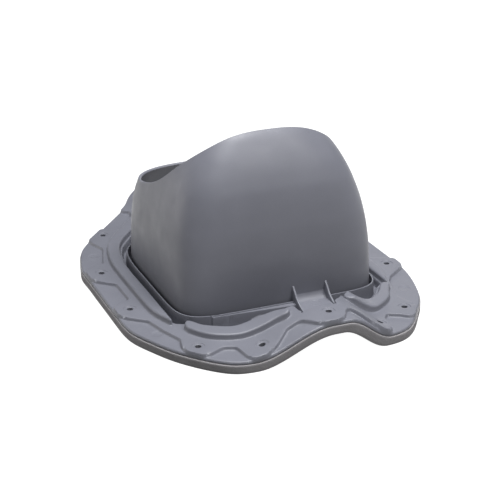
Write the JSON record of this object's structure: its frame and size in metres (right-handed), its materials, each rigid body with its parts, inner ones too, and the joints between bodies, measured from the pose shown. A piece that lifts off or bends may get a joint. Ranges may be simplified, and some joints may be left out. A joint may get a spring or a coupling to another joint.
{
  "type": "roof penetration flashing",
  "caption": "Wavy roof flange with screw tabs, raised water beads and a gutter round a tall rounded hood, open at the back for a vent pipe, with a sealing band under the edge.",
  "frame": {"origin": "middle of the flange in plan, on the face that lies in the trough of the roof's wave", "axes": "+X across the roof slope, +Y up the slope, +Z away from the roof"},
  "size_m": [0.335, 0.476, 0.1997],
  "materials": {
    "grey_plastic": "satin bluish grey moulded plastic with a fine grain",
    "seal_foam": "matte warm grey closed-cell sealing band"
  },
  "bodies": {
    "root": {"flange": "grey_plastic", "hood": "grey_plastic", "edge_seal": "seal_foam"}
  },
  "joints": []
}
